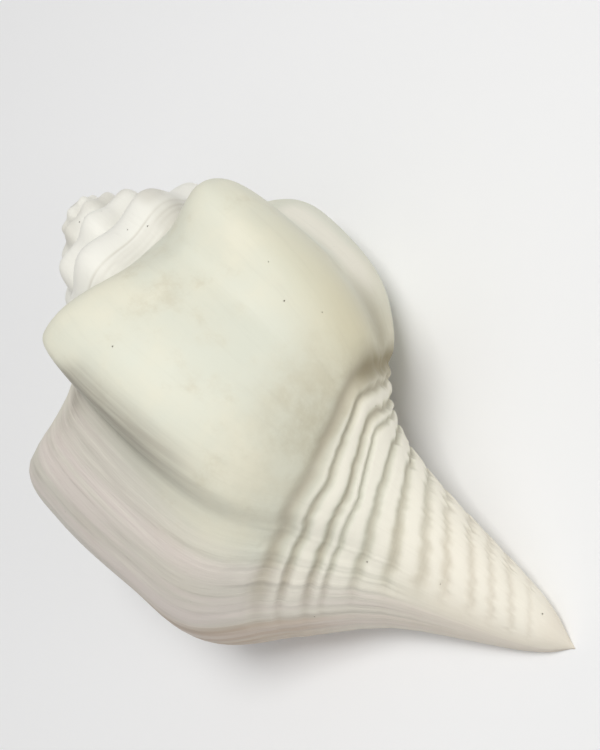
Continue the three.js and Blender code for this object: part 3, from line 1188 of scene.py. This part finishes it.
def srgb(red: int, green: int, blue: int) -> tuple[float, float, float, float]:
    """A colour given as it looks, from 0 to 255, as the linear colour a shader takes."""
    linear = [((c / 255.0 + 0.055) / 1.055) ** 2.4 if c > 10 else c / 3294.6 for c in (red, green, blue)]
    return (linear[0], linear[1], linear[2], 1.0)


@dataclass(frozen=True)
class ShellFinish:
    """Worn porcelain-like shell: cream with a green cast, greyer and pinker towards the lip."""

    cream: tuple[float, float, float, float] = srgb(229, 227, 208)
    cream_cool: tuple[float, float, float, float] = srgb(224, 225, 209)
    cream_warm: tuple[float, float, float, float] = srgb(240, 235, 214)
    pink_grey: tuple[float, float, float, float] = srgb(227, 214, 208)
    green_grey: tuple[float, float, float, float] = srgb(213, 206, 195)
    blotch_tone: tuple[float, float, float, float] = srgb(203, 195, 169)
    # grey for the fold's streaks and painted shade, and for dark growth lines
    fold_grey: tuple[float, float, float, float] = srgb(150, 143, 130)
    # yellowish brown of the third knob's ridge, darkened as painted shade
    tan_and_shade_tone: tuple[float, float, float, float] = srgb(221, 214, 184)
    grime_tone: tuple[float, float, float, float] = srgb(191, 184, 158)
    # dark brown for dirt and painted shade in the waist, and for the painted shadow strip
    neck_dirt_and_shade_tone: tuple[float, float, float, float] = srgb(140, 128, 96)
    # light cream for painted light on the crests and flank, and for the pale growth lines
    crest_tone: tuple[float, float, float, float] = srgb(247, 242, 227)
    # painted shade for the floors of the grooves and threads
    furrow_shade_tone: tuple[float, float, float, float] = srgb(178, 169, 148)
    rim_brown: tuple[float, float, float, float] = srgb(186, 163, 140)
    chalk_white: tuple[float, float, float, float] = srgb(248, 246, 238)
    # grey for painted shade standing in for dents on the older whorls
    dent_shade_grey: tuple[float, float, float, float] = srgb(219, 215, 205)
    canal_cream: tuple[float, float, float, float] = srgb(240, 230, 214)
    porcelain: tuple[float, float, float, float] = srgb(238, 216, 190)
    pit_brown: tuple[float, float, float, float] = srgb(120, 108, 88)

    def material(self) -> bpy.types.Material:
        """The shell's material: colours by marking and noise, roughness, and fine growth lines as bump.

        Returns:
            The material.
        """
        g = ShaderGraph("shell_surface")
        place = g.node("ShaderNodeTexCoord", {}, {}, "Object")
        cloud = g.noise(place, 28.0, 4.0, 0.55)
        speck = g.noise(place, 140.0, 3.0, 0.6)
        lines = g.noise(g.grown(150.0, 6.0), 1.0, 5.0, 0.65)
        bands = g.noise(g.grown(42.0, 2.4), 1.0, 3.0, 0.5)
        streak = g.noise(g.grown(95.0, 3.0), 1.0, 4.0, 0.6)
        colour = self.colours(g, place, cloud, speck, lines, bands, streak)
        normal, pit = self.relief(g, place, lines, speck)
        colour = g.blend(pit * 0.8, colour, self.pit_brown)
        rough = 0.50 + 0.16 * (cloud - 0.5) + 0.10 * g.mask("furrow") + 0.12 * (lines - 0.5)
        rough = rough - 0.18 * g.mask("glaze")
        return g.wire({
            "Base Color": colour, "Roughness": rough, "Normal": normal,
            "Specular IOR Level": 0.38, "IOR": 1.5,
        })

    def colours(self, g: ShaderGraph, place: Signal, cloud: Signal, speck: Signal, lines: Signal,
                bands: Signal, streak: Signal) -> Signal:
        """Base colour: each marking laid over the cream in turn.

        Args:
            g: the material being built.
            place: Object coordinates.
            cloud: broad soft noise.
            speck: fine noise.
            lines: fine noise along the growth lines.
            bands: broad bands along the growth lines.
            streak: uneven streaks along the growth lines.

        Returns:
            The base colour.
        """
        colour = g.blend(cloud.between(0.35, 0.65), self.cream_cool, self.cream)
        blotch = g.noise(place, 46.0, 5.0, 0.72).between(0.50, 0.70) * cloud.between(0.36, 0.60)
        colour = g.blend(blotch * 0.5, colour, self.blotch_tone)
        mottle = g.noise(place, 110.0, 4.0, 0.7).between(0.32, 0.68)
        colour = g.blend(g.mask("grime") * (0.4 + 0.35 * mottle), colour, self.grime_tone)
        # yellowish brown along the third knob's ridge, partly painted shade on its far flank
        colour = g.blend(g.mask("tan"), colour, self.tan_and_shade_tone)
        colour = g.blend(cloud.between(0.5, 0.72) * 0.4, colour, self.cream_warm)
        side = g.blend(bands.between(0.38, 0.62), self.pink_grey, self.green_grey)
        colour = g.blend(g.mask("lip_side") * (0.62 + 0.3 * streak), colour, side)
        colour = g.blend(g.mask("canal") * 0.75, colour, self.canal_cream)
        # grey-brown streaks and painted shade in the fold between the first two knobs
        colour = g.blend(g.mask("stain_and_shade") * (0.35 + 0.55 * streak.between(0.3, 0.7)), colour, self.fold_grey)
        colour = g.blend(g.mask("rim") * (0.45 + 0.45 * streak.between(0.35, 0.7)), colour, self.rim_brown)
        # grey patches of painted shade standing in for dents on the worn older whorls
        dent_shade = g.noise(place, 36.0, 2.0).between(0.56, 0.72)
        chalky = g.blend(dent_shade * 0.75, self.chalk_white, self.dent_shade_grey)
        colour = g.blend(g.mask("chalk") * 0.85, colour, chalky)
        # painted light on the rib crests and on the flank behind the third knob
        colour = g.blend(g.mask("crest") * 0.8, colour, self.crest_tone)
        # painted shade in the floors of the spiral grooves and threads
        colour = g.blend(g.mask("furrow") ** 1.2 * (0.55 + 0.4 * speck), colour, self.furrow_shade_tone)
        # dirt and painted shade in the waist, and a painted shadow strip beyond the third knob's ridge
        colour = g.blend(g.mask("neck_dirt_and_shade") * (0.45 + 0.6 * cloud), colour, self.neck_dirt_and_shade_tone)
        pale = (1.0 - lines).between(0.5, 0.7) * g.mask("lip_side")
        colour = g.blend(pale * 0.3, colour, self.crest_tone)
        dark = lines.between(0.5, 0.75) * (0.05 + 0.2 * g.mask("lip_side"))
        colour = g.blend(dark, colour, self.fold_grey)
        return g.blend(g.mask("glaze"), colour, self.porcelain)

    def relief(self, g: ShaderGraph, place: Signal, lines: Signal, speck: Signal) -> tuple[Signal, Signal]:
        """Fine growth lines and worn pits.

        Args:
            g: the material being built.
            place: Object coordinates.
            lines: fine noise along the growth lines.
            speck: fine noise.

        Returns:
            The normal, and a mask of the pits.
        """
        outside = 1.0 - g.mask("glaze")
        cells = {"Vector": place, "Scale": 170.0}
        holes = g.node("ShaderNodeTexVoronoi", {"feature": "F1"}, cells, "Distance")
        rare = g.noise(place, 60.0, 1.0).between(0.56, 0.62)
        pit = (1.0 - holes.between(0.02, 0.055)) * rare * outside
        normal = g.bump(lines * outside * (0.25 + g.mask("lip_side")), 0.00030)
        normal = g.bump(speck * outside, 0.00010, normal)
        normal = g.bump(pit * -1.0, 0.0005, normal)
        return normal, pit


@dataclass(frozen=True)
class FloorFinish:
    """Plain pale matt floor."""

    tone: tuple[float, float, float, float] = (0.93, 0.93, 0.93, 1.0)
    cloud_tone: tuple[float, float, float, float] = (0.88, 0.88, 0.87, 1.0)
    roughness: float = 0.8

    def material(self) -> bpy.types.Material:
        """One pale tone with the faintest cloud in it.

        Returns:
            The material.
        """
        g = ShaderGraph("floor_matt")
        place = g.node("ShaderNodeTexCoord", {}, {}, "Object")
        shade = g.blend(g.noise(place, 2.0, 2.0) * 0.04, self.tone, self.cloud_tone)
        return g.wire({"Base Color": shade, "Roughness": self.roughness})


@dataclass(frozen=True)
class Lamp:
    """A square soft white light: its name, its place and side in metres, and its power in watts."""

    name: str
    at: tuple[float, float, float]
    size: float
    power: float


@dataclass
class Studio:
    """Floor, soft lights and the camera."""

    floor_size: float = 6.0
    camera_at: tuple[float, float, float] = (0.25760, 0.13754, 0.39236)
    camera_turn: tuple[float, float, float] = (13.087, 36.556, 46.844)
    lens: float = 63.2
    shift: tuple[float, float] = (-0.0037, 0.0578)
    sky: float = 0.33
    aim: tuple[float, float, float] = (0.0, 0.0, 0.04)
    sensor: float = 36.0
    nearest: float = 0.01
    lamps: tuple[Lamp, ...] = (
        Lamp("key", (0.12, 0.42, 1.46), 0.6, 12.0),
        Lamp("fill", (0.40, -0.58, 1.32), 1.0, 1.6),
        Lamp("side", (1.15, 0.85, 0.50), 0.8, 3.0),
    )

    def floor(self) -> bpy.types.Object:
        """A flat square floor under the shell.

        Returns:
            The floor's object.
        """
        half = self.floor_size / 2.0
        mesh = bpy.data.meshes.new("floor")
        corners = [(-half, -half, 0.0), (half, -half, 0.0), (half, half, 0.0), (-half, half, 0.0)]
        mesh.from_pydata(corners, [], [(0, 1, 2, 3)])
        mesh.materials.append(FloorFinish().material())
        piece = bpy.data.objects.new("floor", mesh)
        bpy.context.scene.collection.objects.link(piece)
        return piece

    def camera(self) -> bpy.types.Object:
        """The camera, with its rotation as XYZ Euler angles in degrees.

        Returns:
            The camera's object.
        """
        data = bpy.data.cameras.new("camera")
        data.lens = self.lens
        data.sensor_width = self.sensor
        data.shift_x, data.shift_y = self.shift
        data.clip_start = self.nearest
        piece = bpy.data.objects.new("camera", data)
        piece.location = self.camera_at
        piece.rotation_euler = [math.radians(angle) for angle in self.camera_turn]
        bpy.context.scene.collection.objects.link(piece)
        bpy.context.scene.camera = piece
        return piece

    def light(self, lamp: Lamp) -> None:
        """Hangs one lamp and points it at the shell.

        Args:
            lamp: the lamp to hang.
        """
        data = bpy.data.lights.new(lamp.name, "AREA")
        data.size = lamp.size
        data.energy = lamp.power
        piece = bpy.data.objects.new(lamp.name, data)
        piece.location = lamp.at
        piece.rotation_euler = (Vector(self.aim) - Vector(lamp.at)).to_track_quat("-Z", "Y").to_euler()
        bpy.context.scene.collection.objects.link(piece)

    def set_world(self) -> None:
        """An even white surround, and colours shown as they are."""
        world = bpy.data.worlds.new("studio")
        world.use_nodes = True
        background = world.node_tree.nodes["Background"]
        background.inputs["Color"].default_value = (1.0, 1.0, 1.0, 1.0)
        background.inputs["Strength"].default_value = self.sky
        bpy.context.scene.world = world
        bpy.context.scene.view_settings.view_transform = "Standard"

    def build(self) -> None:
        """Sets everything up."""
        self.floor()
        self.camera()
        self.set_world()
        for lamp in self.lamps:
            self.light(lamp)


def report(piece: bpy.types.Object) -> None:
    """Logs a piece's size and how many faces it has."""
    size = ", ".join(f"{side * 1000.0:.1f}" for side in piece.dimensions)
    LOG.info("%s: %s mm, %d faces", piece.name, size, len(piece.data.polygons))


def main() -> None:
    """Builds the shell and the studio."""
    logging.basicConfig(level=logging.INFO, format="%(name)s: %(message)s")
    shell = ShellBody(Growth(), Relief(), Pose()).build()
    shell.data.materials.append(ShellFinish().material())
    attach(shell, "root")
    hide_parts(NODE)
    report(shell)
    Studio().build()
    bpy.context.view_layer.update()


if __name__ == "__main__":
    main()
